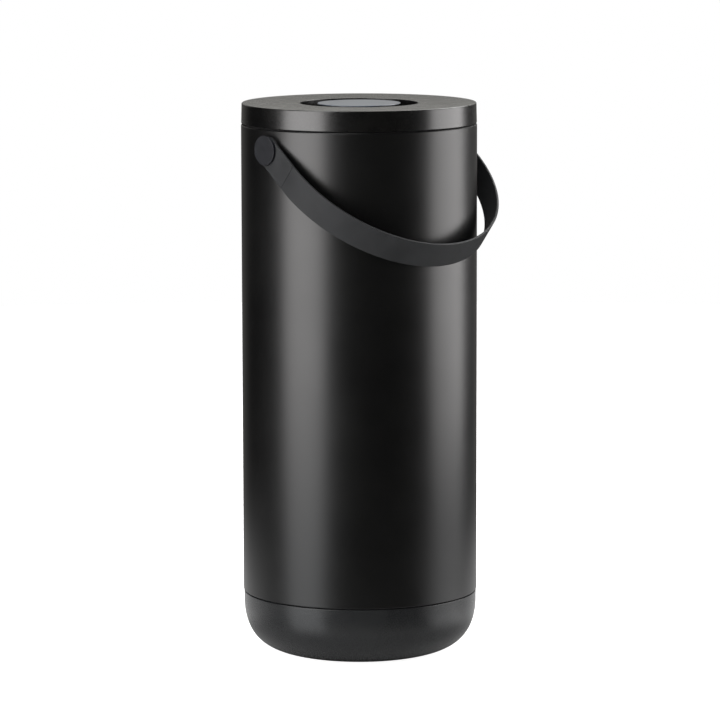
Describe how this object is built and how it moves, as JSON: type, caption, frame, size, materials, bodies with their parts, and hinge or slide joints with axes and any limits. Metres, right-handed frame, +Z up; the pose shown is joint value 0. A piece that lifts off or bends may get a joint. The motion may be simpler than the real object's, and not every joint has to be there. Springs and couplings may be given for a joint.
{
  "type": "trash can",
  "caption": "Tall round kitchen trash can with a lift-off lid gripped by a sunk knob, a round moulded base and a carry strap that swings on side pins.",
  "frame": {"origin": "on the floor, at the middle of the foot pad, on the can's axis", "axes": "+Z up along the can's axis, +X along the strap's pins, the strap rests on the -Y side"},
  "size_m": [0.2664, 0.2712, 0.589],
  "materials": {
    "can_paint": "satin black powder coat on steel",
    "base_plastic": "matte charcoal moulding",
    "lid_plastic": "matte warm black moulding",
    "disc_plastic": "satin grey disc",
    "strap_plastic": "soft matte black",
    "collar_plastic": "matte black moulding",
    "pin_metal": "matte black coated steel",
    "zinc_steel": "plain zinc-plated steel",
    "seal_rubber": "matte black rubber"
  },
  "bodies": {
    "can": {"body_shell": "can_paint", "base_cup": "base_plastic", "foot_pad": "seal_rubber", "rim_collar": "collar_plastic", "left_pivot_pin": "pin_metal", "right_pivot_pin": "pin_metal", "left_pin_spacer": "collar_plastic", "right_pin_spacer": "collar_plastic", "left_backing_plate": "zinc_steel", "right_backing_plate": "zinc_steel", "left_pin_screw": "zinc_steel", "right_pin_screw": "zinc_steel"},
    "lid": {"lid_top": "lid_plastic", "lid_knob": "lid_plastic", "knob_disc": "disc_plastic", "lid_cover": "collar_plastic", "lid_seal": "seal_rubber", "knob_screws": "zinc_steel", "cover_screws": "zinc_steel"},
    "bag_ring": {"bag_ring": "collar_plastic"},
    "strap": {"left_strap_end": "strap_plastic", "right_strap_end": "strap_plastic", "strap_band": "strap_plastic"}
  },
  "joints": [
    {"name": "lid_lift", "type": "slide", "parent": "can", "child": "lid", "axis": [0, 0, 1], "range_m": [0, 0.15]},
    {"name": "bag_ring_lift", "type": "slide", "parent": "can", "child": "bag_ring", "axis": [0, 0, 1], "range_m": [0, 0.075]},
    {"name": "strap_swing", "type": "hinge", "parent": "can", "child": "strap", "pos_m": [0, 0, 0.5455], "axis": [-1, 0, 0], "range_deg": [0, 256.75]}
  ],
  "couplings": [
    {"joint": "bag_ring_lift", "follows": "lid_lift", "ratio": 0.5}
  ]
}
